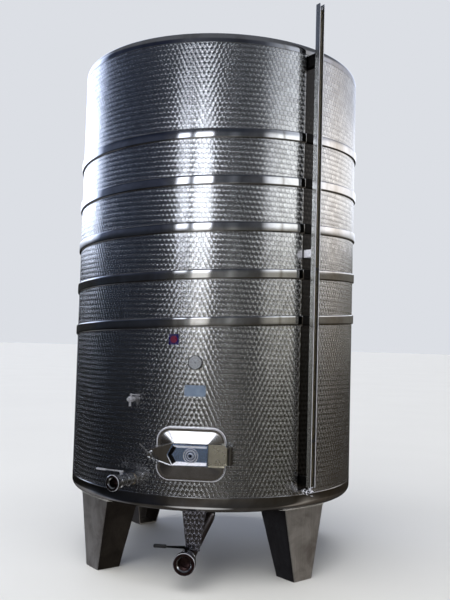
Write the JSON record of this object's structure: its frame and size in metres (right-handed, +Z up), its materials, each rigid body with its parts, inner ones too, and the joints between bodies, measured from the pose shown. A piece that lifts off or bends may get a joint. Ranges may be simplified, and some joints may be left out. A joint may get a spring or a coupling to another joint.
{
  "type": "vertical storage tank",
  "caption": "Vertical stainless storage tank on folded legs, with a spiral cooling channel, hinged manway, level gauge, racking valve and drain valve",
  "frame": {"origin": "on the floor under the middle of the overall box; the tank's axis is 37.9 mm behind it, at Y +0.0379", "axes": "+Z up along the tank's axis; -Y is the front, where the manway is; +X is to the right seen from the front"},
  "size_m": [2.0228, 2.0985, 3.7],
  "materials": {
    "circular_polished": "circular-polished stainless sheet",
    "bright_sheet": "bright stainless sheet",
    "leg_sheet": "folded stainless sheet, mill finish",
    "polished_fitting": "polished cast stainless",
    "seal": "white food-grade seal",
    "sight_tube": "clear tube",
    "dial": "pale dial in a bright case",
    "rating_plate": "blank blue-grey plate",
    "square_plate": "blank navy plate with a plain red disc"
  },
  "bodies": {
    "tank": {"bottom_head": "bright_sheet", "cooling_channel_1": "bright_sheet", "cooling_channel_2": "bright_sheet", "cooling_channel_3": "bright_sheet", "cooling_channel_4": "bright_sheet", "cooling_channel_5": "bright_sheet", "drain_bracket": "circular_polished", "drain_elbow": "polished_fitting", "drain_pipe": "bright_sheet", "drain_valve": "polished_fitting", "gauge_cock": "polished_fitting", "gauge_rail": "bright_sheet", "gauge_tube": "sight_tube", "hinge_bracket": "bright_sheet", "hinge_pin": "bright_sheet", "latch_keeper": "bright_sheet", "leg_1": "leg_sheet", "leg_2": "leg_sheet", "leg_3": "leg_sheet", "leg_4": "leg_sheet", "manway_frame": "bright_sheet", "racking_stub": "bright_sheet", "racking_valve": "polished_fitting", "rating_plate": "rating_plate", "roof_head": "bright_sheet", "roof_lid": "bright_sheet", "roof_neck": "bright_sheet", "sample_tap": "polished_fitting", "shell_above_door": "circular_polished", "shell_below_door": "circular_polished", "shell_wall_1": "circular_polished", "shell_wall_2": "circular_polished", "shell_wall_3": "circular_polished", "shell_wall_4": "circular_polished", "shell_wall_5": "circular_polished", "shell_wall_6": "circular_polished", "shell_wall_7": "circular_polished", "shell_wall_8": "circular_polished", "square_plate": "square_plate", "thermometer": "dial"},
    "manway_door": {"manway_seal": "seal", "manway_panel": "bright_sheet", "manway_bar": "bright_sheet", "manway_channel": "bright_sheet", "manway_boss": "bright_sheet", "hinge_knuckle": "bright_sheet"},
    "latch_screw": {"latch_spindle": "polished_fitting", "tee_handle": "polished_fitting"},
    "racking_handle": {"racking_lever": "polished_fitting", "racking_disc": "polished_fitting"},
    "drain_handle": {"drain_lever": "polished_fitting", "drain_disc": "polished_fitting"},
    "tap_handle": {"tap_lever": "polished_fitting"},
    "cock_handle": {"cock_lever": "polished_fitting"}
  },
  "joints": [
    {"name": "manway_hinge", "type": "hinge", "parent": "tank", "child": "manway_door", "pos_m": [0.10852, -1.03532, 0.814], "axis": [0, 0, 1], "range_deg": [0, 110]},
    {"name": "latch_spin", "type": "hinge", "parent": "manway_door", "child": "latch_screw", "pos_m": [-0.37093, -0.98915, 0.814], "axis": [-0.1219, -0.9925, 0], "continuous": true},
    {"name": "racking_turn", "type": "hinge", "parent": "tank", "child": "racking_handle", "pos_m": [-0.54413, -0.92384, 0.635], "axis": [0, 0, 1], "range_deg": [0, 90]},
    {"name": "drain_turn", "type": "hinge", "parent": "tank", "child": "drain_handle", "pos_m": [-0.13709, -0.93751, 0.17141], "axis": [-0.0073, -0.0518, 0.9986], "range_deg": [0, 90]},
    {"name": "tap_turn", "type": "hinge", "parent": "tank", "child": "tap_handle", "pos_m": [-0.50769, -0.85944, 1.125], "axis": [0, 0, -1], "range_deg": [0, 90]},
    {"name": "cock_turn", "type": "hinge", "parent": "tank", "child": "cock_handle", "pos_m": [0.62841, -0.87987, 0.578], "axis": [0.565, -0.8251, 0], "range_deg": [0, 90]}
  ]
}
